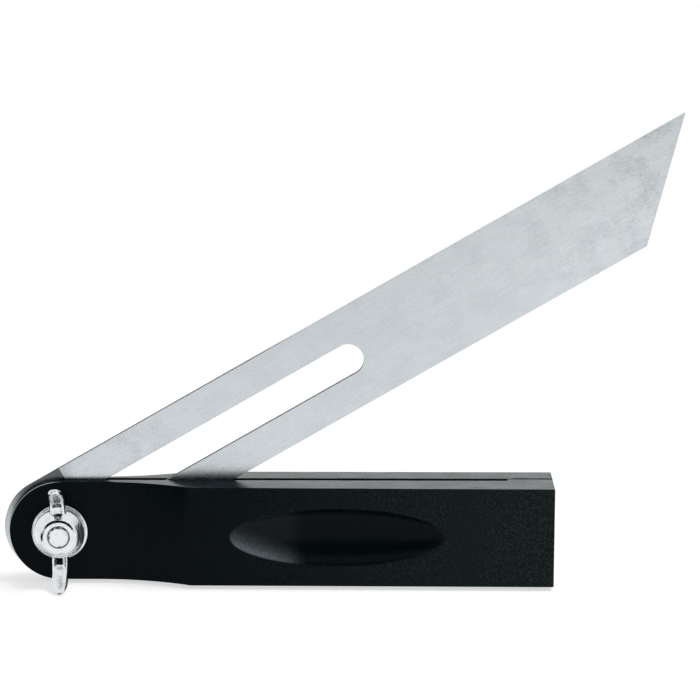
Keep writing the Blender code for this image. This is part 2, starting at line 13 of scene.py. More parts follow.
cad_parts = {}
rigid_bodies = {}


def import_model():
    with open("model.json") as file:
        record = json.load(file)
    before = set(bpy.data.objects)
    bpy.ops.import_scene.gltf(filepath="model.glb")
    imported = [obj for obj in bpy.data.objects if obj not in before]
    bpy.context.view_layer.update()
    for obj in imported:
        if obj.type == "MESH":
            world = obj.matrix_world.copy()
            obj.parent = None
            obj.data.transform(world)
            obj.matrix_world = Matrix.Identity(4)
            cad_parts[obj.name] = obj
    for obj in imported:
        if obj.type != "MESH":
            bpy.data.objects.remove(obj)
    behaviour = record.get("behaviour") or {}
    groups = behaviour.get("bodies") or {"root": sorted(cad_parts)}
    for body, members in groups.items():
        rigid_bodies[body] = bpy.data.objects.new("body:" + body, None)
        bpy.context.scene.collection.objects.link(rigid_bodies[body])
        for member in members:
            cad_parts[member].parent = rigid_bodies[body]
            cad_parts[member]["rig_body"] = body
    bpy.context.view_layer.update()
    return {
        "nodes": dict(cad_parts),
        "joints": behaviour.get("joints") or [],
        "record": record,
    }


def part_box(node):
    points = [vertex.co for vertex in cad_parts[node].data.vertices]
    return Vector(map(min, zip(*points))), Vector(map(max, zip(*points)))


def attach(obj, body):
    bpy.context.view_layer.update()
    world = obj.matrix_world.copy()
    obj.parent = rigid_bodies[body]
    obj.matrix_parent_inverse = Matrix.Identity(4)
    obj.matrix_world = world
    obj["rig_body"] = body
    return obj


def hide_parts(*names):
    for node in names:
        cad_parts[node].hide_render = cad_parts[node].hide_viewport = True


bl_info = {
    "name": "Sliding bevel dressing",
    "version": (1, 1, 0),
    "blender": (4, 5, 0),
    "location": "3D View > Sidebar > Sliding bevel",
    "description": "Finishes the pieces of a sliding bevel and sets up its studio",
    "category": "Object",
}

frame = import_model()
joints = {joint["name"]: joint for joint in frame["joints"]}
pivot = Vector(joints["blade_swing"]["pos_m"])
blade_along = -Vector(joints["blade_slide"]["axis"])
blade_length = (Vector(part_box("blade")[1]) - Vector(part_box("blade")[0])).length
bolt_low, bolt_high = (Vector(corner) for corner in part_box("clamp_bolt"))
nut_base = pivot.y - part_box("wing_nut")[1][1]
bolt_tip = pivot.y - bolt_low.y
bolt_seat_depth = bolt_high.y - pivot.y

VIEWER = Vector((0, -1, 0))
TURN_SIDES = 96
WING_SEGMENTS = 72
WING_RINGS = 200
THREAD_STEPS = 10
DOME_STEPS = 16
WELD = 0.000001
OVERRUN = 0.001
NEAREST = 0.01
EVEN_WEIGHT = 80
# Direction across a thumb scoop towards its painted highlight, low on the left
SCOOP_HIGHLIGHT_SIDE = (-0.82, 0, -0.57)

# Degrees
WHOLE_FACE_ANGLE = 0.15
HANDLE_EDGE_ANGLE = 40
CAST_EDGE_ANGLE = 50
BOLT_EDGE_ANGLE = 32

# Shares of a wing's length between which its flute opens and closes, its share of the wing's width,
# and the powers that square the wing's section and round the flute's
FLUTE_OPENS = (0.15, 0.35)
FLUTE_CLOSES = (0.46, 0.62)
FLUTE_WIDTH = 0.70
SQUARENESS = 0.75
FLUTE_ROUNDNESS = 0.7

# Noise scales, per metre
RAGGED_SCALE = 900
CORNER_SHADE_SCALE = 1900
CLOUD_SCALE = 130
FIBRE_SCALE = 700
NAP_SCALE = 900
STROKE_SCALE = (160, 3400, 3400)


# Properties
def colour(name, description, default):
    return FloatVectorProperty(name=name, description=description, default=default, size=3,
                               subtype='COLOR', min=0, max=1)


def length(name, description, default):
    return FloatProperty(name=name, description=description, default=default, min=0,
                         unit='LENGTH', precision=5)


def factor(name, description, default):
    return FloatProperty(name=name, description=description, default=default, min=0, max=1,
                         subtype='FACTOR')


def angle(name, description, default):
    return FloatProperty(name=name, description=description, default=radians(default),
                         subtype='ANGLE')


def place(name, description, default):
    return FloatVectorProperty(name=name, description=description, default=default, size=3,
                               subtype='TRANSLATION')


def power(name, description, default):
    return FloatProperty(name=name, description=description, default=default, min=0, unit='POWER')


class HandleFinish(bpy.types.PropertyGroup):
    """The black moulded plastic of the two handle halves"""
    plastic: colour("Plastic", "Colour of the moulded plastic", (0.0002, 0.0020, 0.0034))
    # Painted light: the plastic is coloured lighter towards the square end.
    painted_light: colour("Bloom", "Colour of the plastic towards the square end", (0.0030, 0.0062, 0.0060))
    speck: colour("Speck", "Colour of the pale specks in the plastic", (0.024, 0.033, 0.031))
    rubbed: colour("Rubbed", "Colour of the streaks on the burnished sides", (0.014, 0.034, 0.042))
    # Painted highlight: the colour painted low on the left inside the thumb scoops.
    haze: colour("Haze", "Colour of the plastic worn dull by the thumb", (0.160, 0.186, 0.202))
    scuff: colour("Scuff", "Colour of the rubbed edges", (0.016, 0.022, 0.024))
    # Painted highlight on the ear's rim, up and to the left of the pivot.
    lit: colour("Bare", "Colour of the ear's rim where the blade has rubbed it", (0.34, 0.365, 0.375))
    sheen: factor("Sheen", "How strongly the plastic mirrors, 0.5 being plain plastic", 0.045)
    burnish: factor("Burnish", "How shiny the narrow sides have been rubbed", 0.36)
    burnish_roughness: factor("Burnish roughness", "How blurred the rubbed sides' shine is", 0.24)
    roughness: factor("Roughness", "How blurred the plastic's reflections are", 0.27)
    grain_size: length("Grain size", "Spacing of the moulded surface grain", 0.00028)
    grain_depth: length("Grain depth", "Depth of the moulded surface grain", 0.000006)
    ease: length("Ease", "Width of the eased inner edges", 0.00026)
    seam: length("Seam", "Half the width of the dirt line in the joint of the halves", 0.00060)
    seam_from: length("Seam from", "Pivot to where the halves meet", 0.1158)
    # Where the painted light towards the square end begins.
    painted_light_from: length("Bloom from", "Pivot to where the bloom begins", 0.0273)
    scoop_middle: length("Scoop middle", "Pivot to the middle of the thumb scoops", 0.0709)
    scoop_length: length("Scoop length", "Length of the thumb scoops", 0.0548)
    scoop_height: length("Scoop height", "Height of the thumb scoops", 0.0151)
    edge: length("Edge", "Width of the rubbed edges", 0.00018)
    # Where the painted highlight on the ear's rim begins and where it is full.
    rim_start: length("Rim start", "How far off the pivot's level the ear's bare rim begins", 0.001)
    rim_left: length("Rim left", "Pivot to where the bare rim is full, to the left", 0.003)
    rim_up: length("Rim up", "Pivot to where the bare rim is full, upwards", 0.006)


class BladeFinish(bpy.types.PropertyGroup):
    """The ground steel of the blade"""
    steel: colour("Steel", "Colour of the ground faces", (0.640, 0.683, 0.706))
    polished: colour("Polished", "Colour of the ground faces at the tip", (0.800, 0.850, 0.875))
    stain: colour("Stain", "Colour of the mottled patches", (0.505, 0.543, 0.566))
    speck: colour("Speck", "Colour of the small dark marks", (0.22, 0.245, 0.26))
    # Painted shade on the round end of the blade by the pivot.
    shaded: colour("Oiled", "Colour of the oiled steel round the pivot", (0.150, 0.165, 0.175))
    # Painted shade: near-black colour of the blade's thin edges and of their lower corners towards the
    # tip.
    edge_shade: colour("Edge steel", "Colour of the sheared edges", (0.020, 0.022, 0.024))
    edge_sheen: factor("Edge sheen", "How strongly the sheared edges mirror", 0.1)
    roughness: factor("Roughness", "How blurred the steel's reflections are", 0.27)
    streak_length: length("Streak length", "Length of the grinding streaks", 0.0052)
    streak_width: length("Streak width", "Spacing of the grinding streaks", 0.00040)
    # Where the painted shade round the pivot ends, and how softly.
    shade_reach: length("Oiled reach", "Pivot to where the ground faces begin", 0.0077)
    shade_fade: length("Oiled fade", "Half the stretch over which the oil ends", 0.0002)
    # Where the painted shade on the upper edge stops, towards the tip.
    edge_shade_end: length("Bright edge", "Pivot to where the upper edge is rubbed bright", 0.075)
    dash_depth: length("Dash depth", "Depth of the grinding dashes", 0.000003)
    edge: length("Edge", "Width of the eased edges", 0.00010)


class HardwareFinish(bpy.types.PropertyGroup):
    """The plated bolt, washers, wing nut and screws"""
    bright: colour("Bright plate", "Colour of the bright plating", (0.770, 0.795, 0.810))
    shade: colour("Shade", "Colour of the plating's duller patches", (0.56, 0.59, 0.61))
    dull: colour("Dull plate", "Colour of the plain plating", (0.50, 0.51, 0.52))
    # Colour of the pits, and of the painted shade in corners and hollows.
    pit_and_shade: colour("Pit", "Colour of the pits in the plating", (0.10, 0.11, 0.12))
    roughness: factor("Roughness", "How blurred the bright plating's reflections are", 0.12)
    dull_roughness: factor("Dull roughness", "The same for the plain plating", 0.34)
    edge: length("Edge", "Width of the eased edges", 0.00012)
    worn_edge: length("Worn edge", "Width of the brighter line along the edges", 0.00025)
    wave_size: length("Wave size", "Spacing of the waves in the plating", 0.0012)
    wave_depth: length("Wave depth", "Depth of the waves in the plating", 0.00011)
    # How far the painted shade reaches out of a corner.
    corner_shade_reach: length("Grime reach", "How far grime reaches out of a corner", 0.0011)


class NutShape(bpy.types.PropertyGroup):
    """The wing nut, its wings and its bore"""
    hub_base: length("Hub base", "Radius of the hub at its base", 0.0065)
    hub_top: length("Hub top", "Radius of the hub at its top", 0.00445)
    hub_height: length("Hub height", "Base to top of the hub", 0.0047)
    hub_round: length("Hub round", "Bevel at the hub's base", 0.0003)
    hub_lip: length("Hub lip", "Width of the step round the hub's top", 0.0006)
    hub_skirt: length("Hub skirt", "Height of the straight side at the hub's base", 0.0019)
    root_height: length("Root height", "Nut's base to the middle of the wings' roots", 0.0014)
    shoulder: length("Shoulder", "Bolt's axis to the bend of a wing", 0.0097)
    shoulder_height: length("Shoulder height", "Nut's base to the bend of a wing", 0.0035)
    reach: length("Reach", "Bolt's axis to the middle of a wing's end", 0.0137)
    rise: length("Rise", "Nut's base to the middle of a wing's end", 0.0104)
    root_depth: length("Root depth", "Depth of a wing at its root", 0.0027)
    end_depth: length("End depth", "Depth of a wing at its end", 0.0014)
    root_width: length("Root width", "Width of a wing's outer side at its root", 0.0051)
    end_width: length("End width", "Width of a wing's outer side at its end", 0.0042)
    inner_width: length("Inner width", "Width of a wing's inner side", 0.00365)
    end_length: length("End length", "Stretch that a wing's end is rounded over", 0.0022)
    end_round: length("End round", "The same, across the wing's depth", 0.0009)
    flute_depth: length("Flute depth", "Depth of the hollow along a wing's inner side", 0.00055)
    turn: angle("Turn", "How far the wings are turned from upright", 2.1)
    bore: length("Bore", "Radius of the threaded hole", 0.00266)
    bore_base: length("Bore base", "Chamfer of the hole at the nut's base", 0.0002)
    bore_top: length("Bore top", "Chamfer of the hole at the nut's top", 0.0003)
    cell: length("Cell", "How fine the cast surface is modelled", 0.00012)


class BoltShape(bpy.types.PropertyGroup):
    """The clamping bolt and its thread"""
    crest: length("Crest", "Radius over the thread", 0.00258)
    root: length("Root", "Radius at the bottom of the thread", 0.00212)
    pitch: length("Pitch", "Advance of the thread in one turn", 0.0008)
    start: angle("Start", "Turn at which the thread's crest meets the nut's top", 228)
    shank: length("Shank", "Radius of the plain shank", 0.0024)
    chamfer: length("Chamfer", "Bevel at the bolt's end", 0.00045)
    thread_length: length("Thread length", "Bolt's end to the plain shank", 0.0092)
    neck: length("Neck", "Half the side of the square neck", 0.0025)
    neck_length: length("Neck length", "Length of the square neck", 0.0014)
    head: length("Head", "Radius of the domed head", 0.0062)
    head_ease: length("Head ease", "Eased edge under the head", 0.0001)
    rim: length("Rim", "Thickness of the head's rim", 0.0006)
    head_rise: length("Head rise", "Height of the whole head", 0.0027)


class StudioSettings(bpy.types.PropertyGroup):
    """The floor, the lamps, the dark cards and the camera"""
    floor: colour("Floor", "Colour of the floor", (0.90, 0.90, 0.90))
    floor_size: length("Floor size", "Side of the floor", 6)
    fibre_depth: length("Fibre depth", "Depth of the paper's fibres", 0.00002)
    lift: factor("Lift", "How much of the floor is plain white for the camera", 0.62)
    white_from: length("White from", "Middle of the floor to where its shadow begins to fade", 0.20)
    white_to: length("White to", "Middle of the floor to where it is plain white", 0.45)
    world: factor("World", "Strength of the light from all round", 0.62)
    key_size: length("Key size", "Side of the lamp overhead", 0.30)
    key_power: power("Key power", "Power of the lamp overhead", 6.5)
    key_place: place("Key place", "Middle of the handle to the lamp overhead", (0.321, -0.068, 0.839))
    side_size: length("Side size", "Side of the lamp at the right", 0.30)
    side_power: power("Side power", "Power of the lamp at the right", 1.0)
    side_place: place("Side place", "Where the lamp at the right stands", (0.50, -0.42, 0.22))
    felt: colour("Felt", "Colour of the felt on the dark cards", (0.002, 0.002, 0.002))
    nap_depth: length("Nap depth", "Depth of the felt's nap", 0.0002)
    front_width: length("Front width", "Width of the dark card in front", 1.6)
    front_depth: length("Front depth", "Depth of the dark card in front", 0.74)
    front_place: place("Front place", "Pivot to the dark card in front", (0, -0.82, 0.345))
    front_tilt: angle("Front tilt", "How far the dark card in front is tilted", 60)
    left_width: length("Left width", "Width of the dark card at the left", 0.22)
    left_depth: length("Left depth", "Depth of the dark card at the left", 0.15)
    left_place: place("Left place", "Pivot to the dark card at the left", (-0.134, -0.086, -0.0125))
    lens: FloatProperty(name="Lens", description="Focal length", default=188, min=1, unit='CAMERA')
    distance: length("Distance", "Camera to the point it aims at", 0.930)
    azimuth: angle("Azimuth", "How far the camera looks to the right", 0.617)
    elevation: angle("Elevation", "How far the camera looks down", 12.425)
    roll: angle("Roll", "How far the camera is tilted", 0.281)
    aim: place("Aim", "Pivot to the point that the camera aims at", (0.0740725, 0.0, 0.0468711))


# Nodes
def set_entries(node, **values):
    """Set a node's entries by name, with _ for a space."""
    for name, value in values.items():
        node.inputs[name.replace("_", " ")].default_value = value


def add(tree, kind, **values):
    """Add a shader node and set its entries."""
    node = tree.nodes.new(kind)
    set_entries(node, **values)
    return node


def join(tree, source, output, target, entry):
    tree.links.new(source.outputs[output], target.inputs[entry])


def shader_group(name, numbers, outputs):
    """A new group with number inputs and the outputs given; returns it with its two end nodes."""
    tree = bpy.data.node_groups.new(name, 'ShaderNodeTree')
    for label, default in numbers.items():
        socket = tree.interface.new_socket(label, in_out='INPUT', socket_type='NodeSocketFloat')
        socket.default_value = default
    for label in outputs:
        tree.interface.new_socket(label, in_out='OUTPUT', socket_type='NodeSocketFloat')
    return tree, tree.nodes.new('NodeGroupInput'), tree.nodes.new('NodeGroupOutput')


def feed(tree, entry, value):
    """Link an entry to another socket, or set it to a plain value."""
    if isinstance(value, bpy.types.NodeSocket):
        tree.links.new(value, entry)
    elif value is not None:
        entry.default_value = value


def maths(tree, operation, first, second=None):
    """A Math node fed by sockets or plain numbers."""
    node = tree.nodes.new('ShaderNodeMath')
    node.operation = operation
    feed(tree, node.inputs[0], first)
    feed(tree, node.inputs[1], second)
    return node.outputs[0]


def times(tree, first, *others):
    """The product of sockets or plain numbers."""
    for other in others:
        first = maths(tree, 'MULTIPLY', first, other)
    return first


def vector_maths(tree, operation, first, second=None):
    """A Vector Math node fed by sockets or plain vectors; a length or a dot product gives a number."""
    node = tree.nodes.new('ShaderNodeVectorMath')
    node.operation = operation
    feed(tree, node.inputs[0], first)
    feed(tree, node.inputs[1], second)
    return node.outputs["Value" if operation in ('LENGTH', 'DOT_PRODUCT') else "Vector"]


def axis_parts(tree, vector):
    """The X, Y and Z of a vector."""
    node = tree.nodes.new('ShaderNodeSeparateXYZ')
    tree.links.new(vector, node.inputs["Vector"])
    return node.outputs["X"], node.outputs["Y"], node.outputs["Z"]


def own_space(tree, output="Object"):
    """The piece's own coordinates or normal."""
    return tree.nodes.new('ShaderNodeTexCoord').outputs[output]


def spread(tree, value, low, high):
    """Stretch a value's range low to high to 0 to 1, and keep it there."""
    node = add(tree, 'ShaderNodeMapRange', From_Min=low, From_Max=high)
    node.interpolation_type = 'SMOOTHSTEP'
    tree.links.new(value, node.inputs["Value"])
    return node.outputs[0]


def noise(tree, spot, scale, detail, roughness=0.5):
    """Cloudy noise, its scale a socket or a plain number, from 0 to 1."""
    node = add(tree, 'ShaderNodeTexNoise', Detail=detail, Roughness=roughness)
    tree.links.new(spot, node.inputs["Vector"])
    feed(tree, node.inputs["Scale"], scale)
    return node.outputs["Fac"]


def edge_group():
    """How near a point is to a sharp edge: 1 on it, 0 away from it."""
    tree, start, end = shader_group("edge_wear", {"Width": 0.0002, "Breakup": 0.5}, ["Mask"])
    rounded = add(tree, 'ShaderNodeBevel')
    rounded.samples = 4
    join(tree, start, "Width", rounded, "Radius")
    flat = tree.nodes.new('ShaderNodeNewGeometry').outputs["Normal"]
    facing = vector_maths(tree, 'DOT_PRODUCT', rounded.outputs["Normal"], flat)
    bend = maths(tree, 'SUBTRACT', 1, facing)
    breaks = noise(tree, own_space(tree), RAGGED_SCALE, 3)
    ragged = times(tree, breaks, start.outputs["Breakup"])
    held = maths(tree, 'SUBTRACT', bend, times(tree, ragged, 0.12))
    tree.links.new(spread(tree, held, 0.0, 0.10), end.inputs["Mask"])
    return tree


def grain_group():
    """Fine moulded grain with pale specks."""
    tree, start, end = shader_group("moulded_grain", {"Size": 0.0003}, ["Height", "Specks", "Haze"])
    spot = own_space(tree)
    scale = maths(tree, 'DIVIDE', 1, start.outputs["Size"])
    fine = noise(tree, spot, scale, 4, 0.6)
    specks = noise(tree, spot, times(tree, scale, 0.8), 3, 0.8)
    haze = noise(tree, spot, times(tree, scale, 0.03), 4, 0.55)
    tree.links.new(fine, end.inputs["Height"])
    tree.links.new(spread(tree, specks, 0.46, 0.72), end.inputs["Specks"])
    tree.links.new(spread(tree, haze, 0.3, 0.7), end.inputs["Haze"])
    return tree


def streak_group():
    """Grinding streaks along the place's X, and clouds with clumps of dashes and marks."""
    sizes = {"Length": 0.005, "Width": 0.0004}
    outputs = ["Streaks", "Dashes", "Clouds", "Marks"]
    tree, start, end = shader_group("ground_streaks", sizes, outputs)
    tree.interface.new_socket("Place", in_out='INPUT', socket_type='NodeSocketVector')
    spot = start.outputs["Place"]
    across = maths(tree, 'DIVIDE', 1, start.outputs["Width"])
    drawn = []
    for length_share in (1, 0.16):
        squeeze = tree.nodes.new('ShaderNodeCombineXYZ')
        along = maths(tree, 'DIVIDE', 1 / length_share, start.outputs["Length"])
        for entry, value in (("X", along), ("Y", across), ("Z", across)):
            tree.links.new(value, squeeze.inputs[entry])
        drawn.append(vector_maths(tree, 'MULTIPLY', spot, squeeze.outputs["Vector"]))
    streaks = noise(tree, drawn[0], 1, 4, 0.6)
    dashes = spread(tree, noise(tree, drawn[1], 1, 4, 0.7), 0.28, 0.72)
    marks = spread(tree, noise(tree, drawn[1], 1.7, 3, 0.7), 0.56, 0.70)
    clouds = spread(tree, noise(tree, spot, CLOUD_SCALE, 5, 0.65), 0.42, 0.62)
    clumps = blend_values(tree, clouds, 0.15, 1.2)
    tree.links.new(spread(tree, streaks, 0.25, 0.75), end.inputs["Streaks"])
    tree.links.new(times(tree, dashes, clumps), end.inputs["Dashes"])
    tree.links.new(clouds, end.inputs["Clouds"])
    tree.links.new(times(tree, marks, clumps), end.inputs["Marks"])
    return tree


def plating_group():
    """Soft waves, pebbles, duller patches and pits of plated metal."""
    outputs = ["Height", "Patches", "Pits"]
    tree, start, end = shader_group("plating", {"Wave": 0.0012}, outputs)
    spot = own_space(tree)
    scale = maths(tree, 'DIVIDE', 1, start.outputs["Wave"])
    waves = noise(tree, spot, scale, 2, 0.4)
    pebbles = noise(tree, spot, times(tree, scale, 2.6), 3, 0.55)
    patches = noise(tree, spot, times(tree, scale, 0.8), 5, 0.6)
    pits = noise(tree, spot, times(tree, scale, 3.1), 3, 0.6)
    low_share = times(tree, waves, 0.55)
    height = maths(tree, 'ADD', low_share, times(tree, pebbles, 0.45))
    tree.links.new(height, end.inputs["Height"])
    tree.links.new(spread(tree, patches, 0.42, 0.66), end.inputs["Patches"])
    tree.links.new(spread(tree, pits, 0.66, 0.78), end.inputs["Pits"])
    return tree


def corner_shade_group():
    """How deep a point sits in a hollow or a corner, for painted shade: 1 deep in, 0 in the open."""
    tree, start, end = shader_group("corner_shade", {"Reach": 0.001}, ["Mask"])
    open_sky = add(tree, 'ShaderNodeAmbientOcclusion')
    open_sky.samples = 8
    open_sky.only_local = True
    join(tree, start, "Reach", open_sky, "Distance")
    shut = add(tree, 'ShaderNodeMapRange', From_Min=0.80, From_Max=0.50)
    join(tree, open_sky, "AO", shut, "Value")
    ragged = blend_values(tree, noise(tree, own_space(tree), CORNER_SHADE_SCALE, 3, 0.6), 0.5, 1.3)
    tree.links.new(times(tree, shut.outputs[0], ragged), end.inputs["Mask"])
    return tree


def facing_group():
    """Which way a surface faces, in the piece's own space; a corner faces half-way to the front."""
    tree, start, end = shader_group("facing", {"From": 0.8}, ["Up", "Down", "Rim", "Corner"])
    _, front, rise = axis_parts(tree, own_space(tree, "Normal"))
    past = maths(tree, 'SUBTRACT', maths(tree, 'ABSOLUTE', rise), start.outputs["From"])
    tree.links.new(spread(tree, past, 0.0, 0.06), end.inputs["Up"])
    tree.links.new(spread(tree, rise, -0.08, -0.16), end.inputs["Down"])
    turned = maths(tree, 'ABSOLUTE', front)
    tree.links.new(spread(tree, turned, 0.70, 0.30), end.inputs["Rim"])
    off_side, off_front = spread(tree, turned, 0.25, 0.50), spread(tree, turned, 0.97, 0.88)
    tree.links.new(times(tree, off_side, off_front), end.inputs["Corner"])
    return tree


def group_node(tree, name, builder, **values):
    """Place a shared group, built the first time that it is needed."""
    node = tree.nodes.new('ShaderNodeGroup')
    node.node_tree = bpy.data.node_groups.get(name) or builder()
    set_entries(node, **values)
    return node


def blend_colours(tree, mask, first, second):
    """Mix two colours, each a socket or a plain colour, by a mask."""
    node = tree.nodes.new('ShaderNodeMix')
    node.data_type = 'RGBA'
    tree.links.new(mask, node.inputs["Factor"])
    entries = [item for item in node.inputs if item.type == 'RGBA']
    for entry, value in zip(entries, (first, second)):
        linked = isinstance(value, bpy.types.NodeSocket)
        feed(tree, entry, value if linked else (*value, 1))
    return [item for item in node.outputs if item.type == 'RGBA'][0]


def blend_values(tree, mask, first, second):
    """Mix two numbers by a mask."""
    node = add(tree, 'ShaderNodeMapRange', To_Min=first, To_Max=second)
    tree.links.new(mask, node.inputs["Value"])
    return node.outputs[0]


def new_material(name):
    """An empty node material; returns it, its tree and its shader."""
    made = bpy.data.materials.new(name)
    made.use_nodes = True
    return made, made.node_tree, made.node_tree.nodes["Principled BSDF"]


def bump(tree, shader, height, distance):
    """Raise a shader's surface by a height from 0 to 1, times a distance."""
    node = add(tree, 'ShaderNodeBump', Distance=distance)
    tree.links.new(height, node.inputs["Height"])
    join(tree, node, "Normal", shader, "Normal")


# Materials
def scoop_masks(tree, spot, finish):
    """Where the thumb scoops are, and where a painted highlight lies low on the left inside them."""
    off = vector_maths(tree, 'SUBTRACT', spot, pivot + Vector((finish.scoop_middle, 0, 0)))
    half_sizes = (finish.scoop_length / 2, 1, finish.scoop_height / 2)
    shares = vector_maths(tree, 'DIVIDE', off, half_sizes)
    flat = vector_maths(tree, 'MULTIPLY', shares, (1, 0, 1))
    inside = spread(tree, vector_maths(tree, 'LENGTH', flat), 1.01, 0.98)
    rise = add(tree, 'ShaderNodeMapRange', From_Min=0.45, From_Max=0.98)
    tree.links.new(vector_maths(tree, 'DOT_PRODUCT', flat, SCOOP_HIGHLIGHT_SIDE), rise.inputs["Value"])
    near_rim = blend_values(tree, maths(tree, 'POWER', rise.outputs[0], 2.5), 0.05, 1)
    at_left = spread(tree, axis_parts(tree, flat)[0], -0.27, -0.50)
    return inside, times(tree, inside, near_rim, at_left)


def seam_mask(tree, along, depth, finish):
    """The line of dirt where the two halves meet beyond the slot."""
    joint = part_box("back_half")[0][1]
    off = maths(tree, 'ABSOLUTE', maths(tree, 'SUBTRACT', depth, joint))
    near = spread(tree, off, finish.seam, finish.seam * 0.8)
    start = pivot.x + finish.seam_from
    return times(tree, near, spread(tree, along, start, start + finish.seam * 0.7))


def plastic_colour(tree, grain, spot, along, finish):
    """Plastic with painted light, lighter and more specked towards the square end, and a painted
    highlight low on the left in the thumb scoops.
    """
    inside, thumb = scoop_masks(tree, spot, finish)
    outside = maths(tree, 'SUBTRACT', 1, inside)
    handle_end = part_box("front_half")[1][0]
    # Painted light: lighter plastic with stronger specks towards the square end, outside the scoops.
    towards_light = spread(tree, along, pivot.x + finish.painted_light_from, handle_end)
    lit_share = times(tree, towards_light, outside)
    cloudy = times(tree, lit_share, blend_values(tree, grain.outputs["Haze"], 0.75, 1))
    painted_lit = blend_colours(tree, cloudy, finish.plastic, finish.painted_light)
    lit_specks = times(tree, grain.outputs["Specks"], blend_values(tree, lit_share, 0.16, 0.9))
    specked = blend_colours(tree, lit_specks, painted_lit, finish.speck)
    # Painted highlight low on the left inside the thumb scoops.
    scoop_highlight = times(tree, thumb, blend_values(tree, grain.outputs["Specks"], 0.45, 1))
    return blend_colours(tree, scoop_highlight, specked, finish.haze)


def rim_highlight_mask(tree, facing, along, rise, finish):
    """The ear's rim, up and to the left of the pivot, where a highlight is painted."""
    left = spread(tree, along, pivot.x + finish.rim_start, pivot.x - finish.rim_left)
    high = spread(tree, rise, pivot.z + finish.rim_start, pivot.z + finish.rim_up)
    return times(tree, facing.outputs["Corner"], left, high)


def plastic_material(finish):
    """Black moulded plastic with fine grain, rubbed edges and burnished narrow sides."""
    made, tree, shader = new_material("moulded_plastic")
    grain = group_node(tree, "moulded_grain", grain_group, Size=finish.grain_size)
    edge = group_node(tree, "edge_wear", edge_group, Width=finish.edge, Breakup=0.7)
    facing = group_node(tree, "facing", facing_group, From=0.93)
    spot = own_space(tree)
    along, depth, rise = axis_parts(tree, spot)
    clean = plastic_colour(tree, grain, spot, along, finish)
    worn = blend_colours(tree, times(tree, edge.outputs["Mask"], 0.6), clean, finish.scuff)
    # Painted highlight on the ear's rim.
    rim = rim_highlight_mask(tree, facing, along, rise, finish)
    rimmed = blend_colours(tree, rim, worn, finish.lit)
    strokes = add(tree, 'ShaderNodeMapping', Scale=STROKE_SCALE)
    tree.links.new(spot, strokes.inputs["Vector"])
    streaks = spread(tree, noise(tree, strokes.outputs["Vector"], 1, 4, 0.65), 0.38, 0.62)
    seam = seam_mask(tree, along, depth, finish)
    narrow = times(tree, facing.outputs["Up"], maths(tree, 'SUBTRACT', 1, seam))
    burnished = times(tree, narrow, streaks)
    tree.links.new(blend_colours(tree, burnished, rimmed, finish.rubbed), shader.inputs["Base Color"])
    tree.links.new(burnished, shader.inputs["Metallic"])
    tree.links.new(times(tree, narrow, finish.burnish), shader.inputs["Coat Weight"])
    rough = blend_values(tree, grain.outputs["Haze"], finish.roughness - 0.03, finish.roughness + 0.05)
    tree.links.new(maths(tree, 'MAXIMUM', rough, seam), shader.inputs["Roughness"])
    set_entries(shader, Coat_Roughness=finish.burnish_roughness, Specular_IOR_Level=finish.sheen)
    bump(tree, shader, grain.outputs["Height"], finish.grain_depth)
    return made


def blade_space(tree):
    """Coordinates with X along the blade from the pivot and Z towards its upper edge."""
    turn = add(tree, 'ShaderNodeMapping', Location=pivot, Rotation=(0, blade_turn(), 0))
    turn.vector_type = 'TEXTURE'
    tree.links.new(own_space(tree), turn.inputs["Vector"])
    return turn.outputs["Vector"]


def ground_colour(tree, streaks, along, by_tip, finish):
    """Ground steel: brighter towards the tip, mottled and marked most at its two ends."""
    by_root = spread(tree, along, blade_length * 0.26, blade_length * 0.12)
    worked = maths(tree, 'MAXIMUM', by_tip, by_root)
    patches = times(tree, streaks.outputs["Clouds"], 0.08)
    coarse = times(tree, streaks.outputs["Dashes"], blend_values(tree, worked, 0.20, 0.46))
    lines = times(tree, streaks.outputs["Streaks"], 0.08)
    uneven = maths(tree, 'ADD', maths(tree, 'ADD', patches, coarse), lines)
    by_end = spread(tree, along, blade_length * 0.40, blade_length * 0.95)
    clean = blend_colours(tree, by_end, finish.steel, finish.polished)
    ground = blend_colours(tree, uneven, clean, finish.stain)
    marks = times(tree, streaks.outputs["Marks"], blend_values(tree, worked, 0.05, 0.55))
    return blend_colours(tree, marks, ground, finish.speck)


def edge_shade_mask(tree, facing, along, across, finish):
    """Painted shade on the blade's thin edges; beyond the slot, the upper one is left unshaded, as
    bright as the faces.
    """
    edge = next(mount for mount in frame["record"]["mounts"] if mount["name"] == "blade_edge")
    top = (Vector(edge["pos_m"]) - pivot).dot(Vector(edge["axis"]))
    outer = spread(tree, across, top * 0.96, top * 0.98)
    # Towards the tip, the painted shade is left off the upper edge.
    rubbed = spread(tree, along, finish.edge_shade_end * 0.86, finish.edge_shade_end * 1.12)
    lit = times(tree, outer, rubbed)
    return times(tree, facing.outputs["Rim"], maths(tree, 'SUBTRACT', 1, lit))


